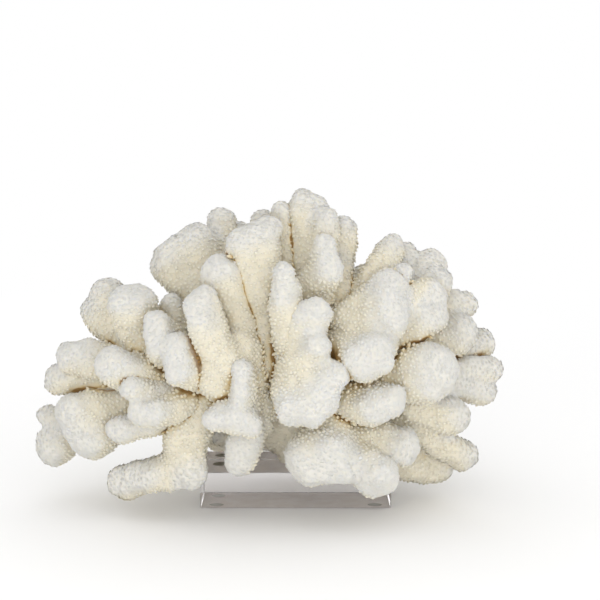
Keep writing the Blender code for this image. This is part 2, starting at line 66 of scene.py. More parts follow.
lobes = {
    "trunk": [
        [(12, 2, 26, 21), lowFork],
        [lowFork, heart],
        [heart, leftFork],
        [leftFork, (-82, -12, 81, 13)],
        [heart, rightFork],
        [rightFork, (72, -8, 91, 14)],
        [heart, topFork],
        [heart, topRightFork],
        [heart, topLeftFork],
        [heart, backFork],
        [backFork, backLeftFork],
        [backFork, backRightFork],
        [(3, 5, 47, 16), (-16, 25, 41, 10)],
        [(5, 8, 34, 15), (-13, 25, 34, 9)],
        [lowFork, (-38, 14, 50, 10), (-52, 15, 41, 7)],
    ],
    "branch_left_low": [
        [(-107, -12, 74, 15), (-123, 2, 61, 13), (-152, 0, 49, 12)],
        [(-152, 0, 49, 12), (-162, -5, 39, 14)],
        [(-157, 0, 50, 8), (-168, -2, 59, 7)],
        [(-107, -15, 70, 14), (-144, -32, 69, 12), (-133, -35, 50, 12)],
        [(-90, -14, 82, 13), (-107, -12, 76, 14)],
    ],
    "branch_left_mid": [
        [(-84, -18, 90, 13), (-110, -15, 92, 13)],
        [(-110, -15, 90, 12), (-158, -12, 87, 10)],
        [(-110, -15, 92, 13), (-136, -22, 105, 11), (-146, -22, 103, 11)],
        [(-88, -32, 88, 13), (-108, -48, 100, 11), (-115, -50, 103, 12)],
    ],
    "branch_left_upper": [
        [(-126, 6, 141, 12), (-134, 4, 129, 11), (-107, -8, 109, 12)],
        [(-107, -34, 139, 13), (-101, -32, 141, 12), (-99, -24, 112, 10)],
        [(-100, -20, 111, 11), (-95, -28, 86, 14)],
    ],
    "branch_left_inner": [
        [(-87, -52, 131, 8), (-86, -56, 116, 7), (-66, -26, 95, 12)],
        [(-73, -62, 118, 9), (-72, -66, 103, 9), (-56, -36, 97, 14)],
        [(-82, -15, 138, 7), (-76, -20, 111, 8)],
        [(-76, -20, 111, 8), (-60, -22, 92, 12)],
    ],
    "branch_centre_left": [
        [(-56, -62, 149, 7), (-60, -66, 143, 8), (-58, -70, 135, 8), (-46, -60, 108, 12)],
        [(-46, -42, 160, 13), (-35, -33, 132, 11)],
        [(-35, -33, 132, 11), (-28, -36, 96, 12)],
    ],
    "branch_top_left": [
        [(-83, 8, 162, 15), (-67, 10, 172, 16), (-54, 2, 138, 14)],
        [(-54, 2, 138, 14), (-42, 5, 116, 15)],
        [(-51, 28, 188, 10), (-48, 14, 150, 10)],
        [(-40, 42, 180, 7), (-42, 20, 146, 10)],
    ],
    "branch_centre": [
        [(-31, -38, 177, 13), (-22, -38, 182, 11), (-17, -32, 189, 8), (-23, -38, 150, 11)],
        [(-23, -38, 150, 11), (-20, -20, 122, 12)],
        [(-22, 5, 192, 7), (-20, -5, 162, 9)],
        [(-20, -5, 162, 9), (-14, -10, 136, 11)],
        [(-24, -26, 150, 11), (-22, -26, 124, 10)],
        [(-22, -26, 124, 10), (-20, -32, 90, 12)],
    ],
    "branch_centre_ridge": [
        [(-9, -8, 197, 7), (-6, -16, 160, 8)],
        [(-6, -16, 160, 8), (-4, -22, 130, 11)],
        [(-7, -66, 164, 7), (-7, -67, 148, 8), (-3, -52, 122, 11)],
        [(-3, -52, 122, 11), (2, -40, 100, 13)],
        [(-4, -22, 130, 11), (0, -40, 112, 10)],
    ],
    "branch_top_centre": [
        [(5, -8, 203, 9), (15, -8, 201, 8), (6, -12, 173, 11)],
        [(6, -12, 173, 11), (8, -16, 138, 12)],
        [(20, -22, 193, 8), (17, -26, 167, 9), (10, -20, 150, 10)],
        [(32, -5, 186, 9), (28, -8, 165, 9)],
        [(28, -8, 165, 9), (16, -12, 136, 12)],
        [(19, -46, 179, 7), (22, -52, 162, 7), (10, -30, 146, 12)],
        [(28, -10, 165, 9), (30, -24, 141, 8)],
        [(30, -24, 141, 8), (27, -36, 114, 10)],
    ],
    "branch_centre_front": [
        [(7, -66, 137, 10), (13, -70, 140, 9), (3, -50, 113, 13)],
        [(13, -74, 120, 9), (3, -56, 103, 13)],
        [(24, -76, 102, 9), (17, -80, 92, 10), (3, -56, 101, 15)],
        [(-2, -76, 82, 10), (10, -80, 82, 10), (18, -80, 86, 9), (0, -54, 95, 14)],
    ],
    "branch_right_top": [
        [(63, -18, 176, 8), (53, -22, 158, 10)],
        [(53, -22, 158, 10), (38, -22, 132, 11)],
        [(75, 5, 169, 7), (71, -5, 149, 9)],
        [(90, 0, 161, 11), (78, -10, 140, 11)],
        [(92, -14, 151, 11), (76, -15, 136, 11)],
        [(71, -8, 147, 10), (50, -14, 126, 12)],
        [(69, -38, 161, 6), (62, -38, 143, 8), (50, -22, 128, 11)],
        [(50, -14, 126, 12), (38, -10, 120, 12)],
    ],
    "branch_right_mid": [
        [(57, -52, 146, 11), (59, -56, 134, 11), (40, -36, 121, 12)],
        [(86, -36, 135, 11), (82, -38, 131, 11), (62, -32, 117, 12)],
        [(48, -72, 115, 13), (41, -70, 111, 13), (30, -46, 112, 13)],
        [(62, -32, 117, 12), (44, -28, 110, 14)],
        [(30, -46, 112, 13), (36, -24, 106, 14)],
    ],
    "branch_right_outer": [
        [(115, 10, 134, 9), (108, 8, 139, 6), (90, 2, 122, 11)],
        [(90, 2, 122, 11), (72, -4, 108, 12)],
        [(110, -10, 119, 11), (106, -10, 114, 11), (84, -8, 106, 12)],
        [(127, 18, 106, 10), (105, 8, 101, 11), (84, 0, 100, 12)],
        [(84, -2, 103, 12), (70, -4, 98, 13)],
    ],
    "branch_right_round": [
        [(85, -48, 100, 18), (81, -50, 94, 15), (58, -36, 92, 13)],
        [(59, -68, 85, 10), (48, -66, 80, 11), (32, -48, 82, 11)],
        [(58, -36, 92, 13), (36, -30, 84, 14)],
        [(32, -48, 82, 11), (30, -30, 82, 13)],
    ],
    "branch_right_low": [
        [(130, 0, 91, 9), (103, -8, 90, 10)],
        [(127, 0, 76, 9), (103, -8, 82, 9)],
        [(103, -8, 87, 11), (76, -12, 82, 12)],
        [(103, -24, 64, 12), (76, -24, 70, 11)],
        [(111, -8, 34, 11), (84, -18, 52, 10)],
        [(99, 4, 21, 10), (75, -6, 26, 12)],
        [(75, -6, 26, 12), (66, -8, 48, 12)],
        [(84, -18, 52, 10), (76, -18, 70, 12), (64, -8, 50, 12)],
        [(76, -14, 78, 12), (60, -12, 80, 13)],
    ],
    "branch_right_front_low": [
        [(5, -62, 45, 12), (25, -64, 53, 11), (30, -66, 43, 11), (10, -66, 42, 11), (22, -44, 63, 14)],
        [(52, -70, 39, 12), (48, -68, 33, 9), (35, -50, 45, 12)],
        [(67, -50, 49, 11), (68, -48, 53, 10), (43, -40, 54, 12)],
    ],
    "branch_left_front_low": [
        [(-33, -70, 104, 6), (-34, -72, 89, 6), (-30, -50, 81, 9)],
        [(-50, -70, 75, 7), (-37, -74, 76, 8), (-27, -70, 71, 7), (-34, -50, 76, 10)],
        [(-32, -50, 58, 10), (-28, -50, 58, 9), (-35, -55, 43, 10)],
        [(-34, -50, 76, 10), (-30, -48, 60, 10), (-22, -30, 72, 12)],
    ],
    "branch_left_bottom": [
        [(-58, -36, 76, 13), (-71, -42, 53, 14)],
        [(-71, -42, 53, 14), (-74, -45, 35, 12)],
        [(-74, -45, 35, 12), (-94, -46, 32, 9), (-93, -52, 31, 8)],
        [(-94, -46, 32, 10), (-110, -38, 24, 12)],
        [(-66, -52, 34, 9), (-70, -48, 45, 12)],
        [(-58, -36, 76, 13), (-50, -20, 78, 13)],
    ],
    "branch_left_front_mid": [
        [(-103, -60, 91, 7), (-87, -42, 83, 10)],
        [(-98, -62, 76, 7), (-86, -66, 76, 8), (-71, -42, 78, 11)],
        [(-113, -48, 61, 8), (-106, -50, 62, 8), (-81, -36, 67, 9)],
        [(-87, -40, 82, 10), (-71, -40, 78, 11), (-81, -36, 68, 9), (-64, -24, 80, 12)],
    ],
    "branch_back_left_low": [
        [(-52, 38, 78, 14), (-80, 38, 66, 14)],
        [(-80, 38, 66, 14), (-112, 40, 58, 12), (-117, 44, 49, 11)],
        [(-80, 38, 66, 14), (-100, 58, 76, 12)],
        [(-80, 38, 66, 14), (-88, 62, 50, 13)],
        [(-80, 38, 66, 14), (-108, 28, 80, 10)],
        [(-80, 38, 66, 14), (-53, 48, 31, 12)],
    ],
    "branch_back_left_mid": [
        [(-50, 40, 90, 14), (-62, 50, 101, 14)],
        [(-62, 50, 101, 14), (-90, 50, 114, 12)],
        [(-62, 50, 101, 14), (-86, 68, 97, 12)],
        [(-62, 50, 101, 14), (-66, 78, 109, 12), (-58, 79, 102, 11)],
        [(-62, 50, 101, 14), (-56, 68, 82, 12)],
    ],
    "branch_back_left_top": [
        [(-42, 22, 116, 13), (-48, 38, 130, 13)],
        [(-48, 38, 130, 13), (-69, 44, 147, 11)],
        [(-48, 38, 130, 13), (-52, 52, 151, 11), (-43, 56, 147, 10)],
        [(-48, 38, 130, 13), (-58, 64, 131, 11)],
        [(-48, 38, 130, 13), (-30, 58, 133, 10)],
    ],
    "branch_back_top": [
        [(-8, 14, 126, 14), (-8, 30, 146, 14)],
        [(-8, 30, 146, 14), (-20, 34, 178, 9), (-12, 37, 180, 9)],
        [(-8, 30, 146, 14), (8, 38, 176, 9)],
        [(-8, 30, 146, 14), (-20, 57, 163, 10)],
        [(-8, 30, 146, 14), (6, 60, 160, 11)],
        [(-8, 30, 146, 14), (20, 32, 158, 9)],
    ],
    "branch_back_right_top": [
        [(34, 14, 118, 13), (48, 32, 128, 14)],
        [(48, 32, 128, 14), (62, 34, 152, 10), (67, 38, 147, 10)],
        [(48, 32, 128, 14), (36, 50, 145, 10)],
        [(48, 32, 128, 14), (75, 42, 131, 12)],
        [(48, 32, 128, 14), (56, 63, 129, 12)],
        [(48, 32, 128, 14), (40, 66, 111, 10)],
    ],
    "branch_back_right": [
        [(54, 30, 88, 14), (80, 34, 97, 14)],
        [(80, 34, 97, 14), (103, 36, 113, 10)],
        [(80, 34, 97, 14), (111, 41, 91, 12)],
        [(80, 34, 97, 14), (91, 60, 106, 11)],
        [(80, 34, 97, 14), (80, 66, 86, 12)],
        [(80, 34, 97, 14), (101, 53, 74, 11)],
    ],
    "branch_back_right_low": [
        [(44, 36, 74, 14), (58, 44, 60, 14)],
        [(58, 44, 60, 14), (87, 42, 52, 11)],
        [(58, 44, 60, 14), (72, 68, 58, 12)],
        [(58, 44, 60, 14), (51, 73, 44, 11), (43, 73, 49, 10)],
        [(58, 44, 60, 14), (74, 48, 33, 10)],
    ],
    "branch_back_centre": [
        [(-3, 46, 92, 15), (-4, 62, 98, 15)],
        [(-4, 62, 98, 15), (-27, 83, 106, 12), (-20, 86, 98, 11)],
        [(-4, 62, 98, 15), (9, 88, 111, 12)],
        [(-4, 62, 98, 15), (18, 85, 84, 12)],
        [(-4, 62, 98, 15), (-11, 90, 81, 12)],
        [(-4, 62, 98, 15), (30, 70, 99, 10)],
        [(-4, 62, 98, 15), (-16, 72, 128, 10)],
    ],
    "branch_back_low": [
        [(-4, 38, 74, 15), (-6, 50, 58, 15)],
        [(-6, 50, 58, 15), (-31, 71, 51, 12), (-24, 76, 44, 11)],
        [(-6, 50, 58, 15), (5, 79, 57, 12)],
        [(-6, 50, 58, 15), (14, 68, 31, 11)],
        [(-6, 50, 58, 15), (-13, 62, 26, 10), (-25, 56, 28, 9)],
        [(-6, 50, 58, 15), (-39, 56, 34, 10)],
    ],
}

# The skin that joins fingers side by side and has no tips of its own
webs = {
    "branch_centre_left": [
        [(-46, -60, 108, 12), (-50, -57, 96, 11), (-29, -42, 89, 14)],
        [(-37, -48, 116, 10), (-46, -52, 91, 11), (-30, -50, 84, 9), (-29, -42, 112, 9)],
    ],
    "branch_centre": [
        [(-22, -32, 130, 8), (-19, -38, 98, 8), (-16, -36, 78, 9)],
    ],
    "branch_right_mid": [
        [(59, -44, 152, 12), (49, -56, 116, 13), (36, -38, 130, 13)],
        [(60, -42, 140, 12), (85, -32, 145, 12), (66, -32, 124, 12)],
    ],
    "branch_left_front_low": [
        [(-21, -44, 82, 6), (-21, -44, 64, 6), (-30, -46, 75, 8)],
    ],
    "branch_back_left_low": [
        [(-80, 38, 66, 14), (-112, 40, 58, 11), (-88, 60, 52, 12)],
        [(-80, 38, 66, 14), (-98, 56, 76, 11), (-106, 30, 79, 10)],
    ],
    "branch_back_left_mid": [
        [(-62, 50, 101, 14), (-88, 50, 113, 11), (-84, 66, 98, 12)],
    ],
    "branch_back_left_top": [
        [(-48, 38, 130, 13), (-43, 55, 146, 10), (-32, 56, 134, 10)],
    ],
    "branch_back_top": [
        [(-8, 30, 146, 14), (-19, 34, 175, 9), (-20, 54, 163, 10)],
        [(-8, 30, 146, 14), (5, 58, 159, 10), (18, 34, 157, 9)],
    ],
    "branch_back_right_top": [
        [(48, 32, 128, 14), (73, 42, 131, 11), (57, 61, 129, 12)],
        [(48, 32, 128, 14), (38, 48, 143, 10), (60, 36, 150, 10)],
    ],
    "branch_back_right": [
        [(80, 34, 97, 14), (101, 37, 111, 10), (91, 58, 105, 11)],
        [(80, 34, 97, 14), (109, 42, 90, 11), (100, 53, 76, 11)],
    ],
    "branch_back_right_low": [
        [(58, 44, 60, 14), (71, 66, 57, 12), (52, 71, 46, 11)],
        [(58, 44, 60, 14), (85, 43, 51, 10), (74, 49, 36, 10)],
    ],
    "branch_back_centre": [
        [(-4, 62, 98, 15), (-20, 84, 98, 11), (-11, 88, 83, 12)],
        [(-4, 62, 98, 15), (9, 85, 110, 12), (28, 71, 99, 10)],
    ],
    "branch_back_low": [
        [(-6, 50, 58, 15), (-24, 74, 45, 11), (-38, 57, 36, 10)],
        [(-6, 50, 58, 15), (5, 76, 55, 12), (13, 68, 34, 11)],
    ],
}

# How the coral's own form is skinned
form = {
    "ballDetail": 3,  # subdivisions of the balls that a lobe is drawn round
    "skin": 0.5,  # mm added round every ball
    "voxel": 2.0 * mm,
    "trunkVoxel": 2.8 * mm,  # mostly hidden
    "easing": 0.5,
    "easeSteps": 7,
    "restGap": 0.3 * mm,  # between the cut foot and the block
    "cutDepth": 30.0 * mm,  # how far below the table the cut reaches
}


def ballDirections():
    bm = bmesh.new()
    bmesh.ops.create_icosphere(bm, subdivisions=form["ballDetail"], radius=1)
    directions = [vert.co.copy() for vert in bm.verts]
    bm.free()
    return directions


def place(ball):
    return Vector(ball[:3]) * mm + standMiddle


def addLobe(bm, balls, directions):
    points = []
    for ball in balls:
        middle = place(ball)
        reach = (ball[3] + form["skin"]) * mm
        points += [bm.verts.new(middle + way * reach) for way in directions]
    hull = bmesh.ops.convex_hull(bm, input=points)
    inside = hull["geom_interior"] + hull["geom_unused"]
    loose = {v for v in inside if isinstance(v, bmesh.types.BMVert)}
    bmesh.ops.delete(bm, geom=list(loose), context="VERTS")


def bakeModifiers(piece):
    # The piece as its modifiers leave it, in a plain mesh
    bpy.context.view_layer.update()
    graph = bpy.context.evaluated_depsgraph_get()
    shaped = bpy.data.meshes.new_from_object(piece.evaluated_get(graph), depsgraph=graph)
    piece.modifiers.clear()
    old = piece.data
    piece.data = shaped
    bpy.data.meshes.remove(old)
    shaped.name = piece.name


def newBox(bm, low, high):
    room = Matrix.Translation((low + high) / 2) @ Matrix.Diagonal((*(high - low), 1))
    bmesh.ops.create_cube(bm, size=1, matrix=room)


def newPiece(name, bm):
    mesh = bpy.data.meshes.new(name)
    bm.to_mesh(mesh)
    bm.free()
    piece = bpy.data.objects.new(name, mesh)
    bpy.context.scene.collection.objects.link(piece)
    return piece


def growForm(node, directions):
    # All the lobes of a branch under one skin, with the creases between them filled
    bm = bmesh.new()
    for balls in lobes[node] + webs.get(node, []):
        one = bmesh.new()
        addLobe(one, balls, directions)
        lobe = bpy.data.meshes.new("lobe")
        one.to_mesh(lobe)
        one.free()
        bm.from_mesh(lobe)
        bpy.data.meshes.remove(lobe)
    piece = newPiece("coral_" + node.replace("branch_", ""), bm)
    remesh = piece.modifiers.new("skin", "REMESH")
    remesh.mode = "VOXEL"
    remesh.voxel_size = form["trunkVoxel" if node == "trunk" else "voxel"]
    ease = piece.modifiers.new("ease", "SMOOTH")
    ease.factor = form["easing"]
    ease.iterations = form["easeSteps"]
    bakeModifiers(piece)
    return piece


def standCutter():
    # The space of the block and all below it, which the coral stays out of
    bm = bmesh.new()
    gap = form["restGap"]
    low = Vector((standBox[0].x - gap, standBox[0].y - gap, -form["cutDepth"]))
    high = Vector((standBox[1].x + gap, standBox[1].y + gap, standBox[1].z + gap))
    newBox(bm, low, high)
    return newPiece("stand_room", bm), low, high


def meets(piece, low, high):
    places = np.array([v.co for v in piece.data.vertices])
    inside = np.all((places > np.array(low)) & (places < np.array(high)), axis=1)
    return bool(inside.any())


def cutAtStand(piece, cutter):
    cut = piece.modifiers.new("cut", "BOOLEAN")
    cut.operation = "DIFFERENCE"
    cut.solver = "EXACT"
    cut.object = cutter
    bakeModifiers(piece)


# Marks on the skin: tips, lean of the knobs, and open air
marks = {
    "tipSlack": 11.0,  # mm that a ball may fall short of the farthest one and still be a tip
    "tipReach": 22.0,  # mm below a tip where it is no longer white
    "tipTop": 0.55,  # of a finger's radius, where it is fully white
    "beside": (2.0, 11.0),  # mm outside a finger's radius where its mark starts to fade and ends
    "crown": 0.7,  # how much of a crown's facing is its finger's own way
    "sun": (0.0, -0.15, 0.55),  # the rest, the same for all: up and a little to the front, where the light falls, so the white of the tips is partly painted highlight
    "facing": (-0.6, 0.5),  # turned away from the crown, and turned to it
    "leanFade": 30.0,  # mm below a tip where its way counts for a third
    "rays": 12,
    "quickRays": 5,
    "rayTurn": 2.399963,  # radians, the golden angle
    "rayLift": 0.8 * mm,  # above the skin where a ray starts
    "rayLength": 40.0 * mm,
    "gapLength": 14.0 * mm,  # nearer than this another finger closes off the view
}


def step(low, high, value):
    # Eases from 0 at low to 1 at high
    t = np.clip((value - low) / (high - low), 0, 1)
    return t * t * (3 - 2 * t)


def fromHeart(ball):
    return (Vector(ball[:3]) - Vector(heart[:3])).length


def tipBalls(node):
    # The ball at the end of each finger, and the way that the finger points
    roots = {min(balls, key=fromHeart) for balls in lobes[node]}
    found = []
    for balls in lobes[node]:
        away = sorted(balls, key=fromHeart)
        root, last = away[0], away[-1]
        for ball in away[1:]:
            if ball not in roots and fromHeart(ball) > fromHeart(last) - marks["tipSlack"]:
                way = (Vector(ball[:3]) - Vector(root[:3])).normalized()
                found.append((place(ball), way, ball[3]))
    return found


def setAttribute(mesh, name, kind, values):
    attribute = mesh.attributes.new(name, kind, "POINT")
    field = "vector" if kind == "FLOAT_VECTOR" else "value"
    attribute.data.foreach_set(field, np.asarray(values, np.float32).ravel())


def readVertices(mesh, field):
    values = np.empty(len(mesh.vertices) * 3, np.float32)
    mesh.vertices.foreach_get(field, values)
    return values.reshape(-1, 3)


def markTips(piece, node):
    # How far each spot belongs to a tip, and which way the knobs there lean
    places = readVertices(piece.data, "co") / mm
    normals = readVertices(piece.data, "normal")
    tip = np.zeros(len(places))
    lean = np.zeros((len(places), 3))
    edge, end = marks["beside"]
    for middle, way, radius in tipBalls(node):
        middle = np.array(middle) / mm
        way = np.array(way)
        away = places - middle
        along = away @ way
        aside = np.linalg.norm(away - along[:, None] * way, axis=1)
        near = 1 - step(radius + edge, radius + end, aside)
        crown = way * marks["crown"] + np.array(marks["sun"])
        facing = step(*marks["facing"], normals @ (crown / np.linalg.norm(crown)))
        high = step(-marks["tipReach"], radius * marks["tipTop"], along)
        tip = np.maximum(tip, near * facing * high)
        lean += way * (near * np.exp(-np.maximum(-along, 0) / marks["leanFade"]) + 1e-3)[:, None]
    if not lean.any():
        lean = places - np.array(heart[:3])
    lean /= np.maximum(np.linalg.norm(lean, axis=1), 1e-6)[:, None]
    setAttribute(piece.data, "tip", "FLOAT", tip)
    setAttribute(piece.data, "lean", "FLOAT_VECTOR", lean)


def rayWays(count):
    # Evenly spread ways over half a ball, thicker towards its pole
    ways = []
    for i in range(count):
        up = math.sqrt((i + 0.5) / count)
        out = math.sqrt(1 - up * up)
        turn = i * marks["rayTurn"]
        ways.append((math.cos(turn) * out, math.sin(turn) * out, up))
    return ways


def markOpenness(pieces):
    # How much open air each spot of the skin sees, from 0 deep in a crevice to 1 out in the open,
    # and how much of its view another finger closes off right in front of it
    bm = bmesh.new()
    for piece in pieces:
        bm.from_mesh(piece.data)
    tree = BVHTree.FromBMesh(bm)
    bm.free()
    ways = rayWays(marks["rays"])
    far, near = marks["rayLength"], marks["gapLength"]
    for piece in pieces:
        seen, close = [], []
        for vert in piece.data.vertices:
            normal = vert.normal
            side = normal.orthogonal().normalized()
            other = normal.cross(side)
            start = vert.co + normal * marks["rayLift"]
            light = shut = 0.0
            for x, y, z in ways:
                hit = tree.ray_cast(start, side * x + other * y + normal * z, far)
                light += 1.0 if hit[0] is None else (hit[3] / far) ** 0.7
                shut += 0.0 if hit[0] is None else max(0.0, 1.0 - hit[3] / near)
            seen.append(light / len(ways))
            close.append(shut / len(ways))
        setAttribute(piece.data, "open", "FLOAT", seen)
        setAttribute(piece.data, "close", "FLOAT", close)


# Verrucae: the small knobs that cover the fingers and fade out at the tips
knobs = {
    "Spacing": 2.5 * mm,
    "Width": 1.45 * mm,
    "Height": 3.0 * mm,
    "Lean": 0.7,
    "Lump": 4.2 * mm,  # how far the skin wanders in and out
    "Lump Size": 17.0 * mm,
    "Seed": 7,
}

# How the knobs differ from place to place. A fade is (from, to, value at from, value at to).
knobFades = {
    "sides": 4,
    "waist": 0.55,  # how much fuller than a plain cone it is halfway up
    "crowd": 600000.0,  # points on a square metre before the spacing thins them
    "bare": (0.04, 0.12),  # no open air, no knobs
    "shut": (0.5, 0.3),  # nor where another finger nearly touches
    "scatter": 0.18,  # of its length, sideways at random
    "sizes": (0.75, 1.2),
    "atTips": (0.95, 0.35, 0.3, 1.0),
    "inTheOpen": (0.60, 0.40, 0.32, 1.4),
}


def addSocket(tree, name, kind, inOut="INPUT"):
    return tree.interface.new_socket(name=name, in_out=inOut, socket_type=kind)


class Nodes:
    # Adds nodes to a tree and joins them up
    def __init__(self, tree):
        self.tree = tree

    def add(self, kind, settings=None, **links):
        # A link is named for its socket, or i0, i1 and so on for its place
        node = self.tree.nodes.new(kind)
        for key, value in (settings or {}).items():
            setattr(node, key, value)
        for key, value in links.items():
            numbered = key[0] == "i" and key[1:].isdigit()
            self.put(node.inputs[int(key[1:]) if numbered else key], value)
        return node

    def put(self, socket, value):
        if isinstance(value, bpy.types.NodeSocket):
            self.tree.links.new(value, socket)
        else:
            socket.default_value = value

    def math(self, operation, *values):
        node = self.tree.nodes.new("ShaderNodeMath")
        node.operation = operation
        for socket, value in zip(node.inputs, values):
            self.put(socket, value)
        return node.outputs[0]

    def vector(self, operation, *values):
        node = self.tree.nodes.new("ShaderNodeVectorMath")
        node.operation = operation
        for socket, value in zip(node.inputs, values):
            self.put(socket, value)
        return node.outputs["Value" if operation == "LENGTH" else "Vector"]

    def scaled(self, vector, factor):
        node = self.tree.nodes.new("ShaderNodeVectorMath")
        node.operation = "SCALE"
        self.put(node.inputs[0], vector)
        self.put(node.inputs["Scale"], factor)
        return node.outputs[0]

    def named(self, name, kind="FLOAT"):
        node = self.tree.nodes.new("GeometryNodeInputNamedAttribute")
        node.data_type = kind
        node.inputs["Name"].default_value = name
        return node.outputs["Attribute"]

    def ramped(self, value, low, high, toLow=0.0, toHigh=1.0, smooth=True):
        node = self.tree.nodes.new("ShaderNodeMapRange")
        node.interpolation_type = "SMOOTHSTEP" if smooth else "LINEAR"
        ends = {"Value": value, "From Min": low, "From Max": high, "To Min": toLow, "To Max": toHigh}
        for name, number in ends.items():
            self.put(node.inputs[name], number)
        return node.outputs["Result"]


def knobMesh(n):
    # A blunt open cone of one unit's radius and height, with its height kept as an attribute
    cone = n.add("GeometryNodeMeshCone", {"fill_type": "NONE"})
    n.put(cone.inputs["Vertices"], knobFades["sides"])
    n.put(cone.inputs["Side Segments"], 2)
    n.put(cone.inputs["Radius Top"], 0.0)
    n.put(cone.inputs["Radius Bottom"], 1.0)
    n.put(cone.inputs["Depth"], 1.0)
    spot = n.add("GeometryNodeInputPosition").outputs[0]
    apart = n.add("ShaderNodeSeparateXYZ", i0=spot)
    height = apart.outputs[2]
    halfway = n.math("COMPARE", height, 0.5, 0.2)
    swell = n.math("ADD", 1.0, n.math("MULTIPLY", halfway, knobFades["waist"]))
    wide = n.add("ShaderNodeCombineXYZ", i0=swell, i1=swell, i2=1.0)
    moved = n.add("GeometryNodeSetPosition", Geometry=cone.outputs["Mesh"],
                  Position=n.vector("MULTIPLY", spot, wide.outputs[0]))
    kept = n.add("GeometryNodeStoreNamedAttribute", {"data_type": "FLOAT", "domain": "POINT"},
                 Geometry=moved.outputs[0], Name="knob", Value=height)
    return kept.outputs[0]


def knobTree():
    tree = bpy.data.node_groups.new("coral verrucae", "GeometryNodeTree")
    addSocket(tree, "Geometry", "NodeSocketGeometry")
    for name in ("Spacing", "Width", "Height", "Lean", "Lump", "Lump Size"):
        addSocket(tree, name, "NodeSocketFloat")
    addSocket(tree, "Seed", "NodeSocketInt")
    addSocket(tree, "Material", "NodeSocketMaterial")
    addSocket(tree, "Geometry", "NodeSocketGeometry", "OUTPUT")
    n = Nodes(tree)
    given = tree.nodes.new("NodeGroupInput").outputs

    # The skin wanders in and out
    spot = n.add("GeometryNodeInputPosition").outputs[0]
    normal = n.add("GeometryNodeInputNormal").outputs[0]
    size = n.math("DIVIDE", 1.0, given["Lump Size"])
    broad = n.add("ShaderNodeTexNoise", Vector=spot, Scale=size, Detail=2.0, Roughness=0.55)
    rise = n.math("MULTIPLY", n.math("SUBTRACT", broad.outputs[0], 0.5), given["Lump"])
    rise = n.math("MULTIPLY", rise, 2.0)  # because the noise runs from 0 to 1
    lumpy = n.add("GeometryNodeSetPosition", Geometry=given["Geometry"], Offset=n.scaled(normal, rise))
    base = n.add("GeometryNodeSetShadeSmooth", Geometry=lumpy.outputs[0])

    # Where the knobs go and how big they are
    tip = n.named("tip")
    airy = n.named("open")
    close = n.named("close")
    cover = n.math("MULTIPLY", n.ramped(airy, *knobFades["bare"]), n.ramped(close, *knobFades["shut"]))
    spread = n.add("GeometryNodeDistributePointsOnFaces", {"distribute_method": "POISSON"},
                   Mesh=base.outputs[0], Seed=given["Seed"])
    n.put(spread.inputs["Distance Min"], given["Spacing"])
    n.put(spread.inputs["Density Max"], knobFades["crowd"])
    n.put(spread.inputs["Density Factor"], cover)
    jitter = n.add("FunctionNodeRandomValue", {"data_type": "FLOAT_VECTOR"})
    n.put(jitter.inputs["Min"], [-knobFades["scatter"]] * 3)
    n.put(jitter.inputs["Max"], [knobFades["scatter"]] * 3)
    n.put(jitter.inputs["Seed"], given["Seed"])
    lean = n.scaled(n.named("lean", "FLOAT_VECTOR"), given["Lean"])
    stand = n.vector("ADD", n.vector("ADD", spread.outputs["Normal"], lean), jitter.outputs[0])
    turn = n.add("FunctionNodeAlignRotationToVector", {"axis": "Z"}, Vector=stand)
    chance = n.add("FunctionNodeRandomValue", {"data_type": "FLOAT"})
    floats = [s for s in chance.inputs if s.type == "VALUE"]
    for socket, size in zip(floats, knobFades["sizes"]):
        n.put(socket, size)
    luck = [s for s in chance.outputs if s.type == "VALUE"][0]
    fade = n.math("MULTIPLY", n.ramped(tip, *knobFades["atTips"]), n.ramped(airy, *knobFades["inTheOpen"]))
    wide = n.math("MULTIPLY", given["Width"], luck)
    tall = n.math("MULTIPLY", n.math("MULTIPLY", given["Height"], luck), fade)
    scale = n.add("ShaderNodeCombineXYZ", i0=wide, i1=wide, i2=tall)
    many = n.add("GeometryNodeInstanceOnPoints", Points=spread.outputs["Points"], Instance=knobMesh(n),
                 Rotation=turn.outputs[0], Scale=scale.outputs[0])
    real = n.add("GeometryNodeRealizeInstances", Geometry=many.outputs[0])
    smooth = n.add("GeometryNodeSetShadeSmooth", Geometry=real.outputs[0])
    joined = tree.nodes.new("GeometryNodeJoinGeometry")
    tree.links.new(smooth.outputs[0], joined.inputs[0])
    tree.links.new(base.outputs[0], joined.inputs[0])
    painted = n.add("GeometryNodeSetMaterial", Geometry=joined.outputs[0], Material=given["Material"])
    out = tree.nodes.new("NodeGroupOutput")
    tree.links.new(painted.outputs[0], out.inputs[0])
    return tree


def growKnobs(piece, tree, seed, material):
    modifier = piece.modifiers.new("verrucae", "NODES")
    modifier.node_group = tree
    given = {item.name: item.identifier for item in tree.interface.items_tree if item.in_out == "INPUT"}
    for name, value in knobs.items():
        modifier[given[name]] = value
    modifier[given["Seed"]] = knobs["Seed"] + seed
    modifier[given["Material"]] = material
    bakeModifiers(piece)


# Materials
coralLook = {
    "white": (0.61, 0.605, 0.585),
    "shadeTones": [  # painted shade, from the darkest crevice that sees least open air to the open body
        (0.0, (0.30, 0.18, 0.06)),
        (0.12, (0.53, 0.40, 0.21)),
        (0.30, (0.66, 0.575, 0.40)),
        (0.62, (0.67, 0.623, 0.507)),
    ],
    # grey of the painted shade in the pits
    "pitShade": (0.48, 0.46, 0.425),
    "grained": (0.48, 0.44, 0.36),
    "pit": 2.3 * mm,
    "patchScale": 70.0,  # of the noises, to the metre
    # scale of the noise that makes the painted shade patchy where fingers close in
    "closeShadeScale": 32.0,
    "grainScale": 1500.0,
    # how the tip mark turns white, with painted highlight where tips face the light
    "whiteTip": (0.3, 1.15, 0.0, 0.9),
    "bump": 0.4,
    "bumpDepth": 0.6 * mm,
    "roughness": 0.82,
    "shine": 0.25,
    "glow": 0.35,
    "glowColour": (1.0, 0.8, 0.5),
    "glowDepth": 2.0 * mm,
}


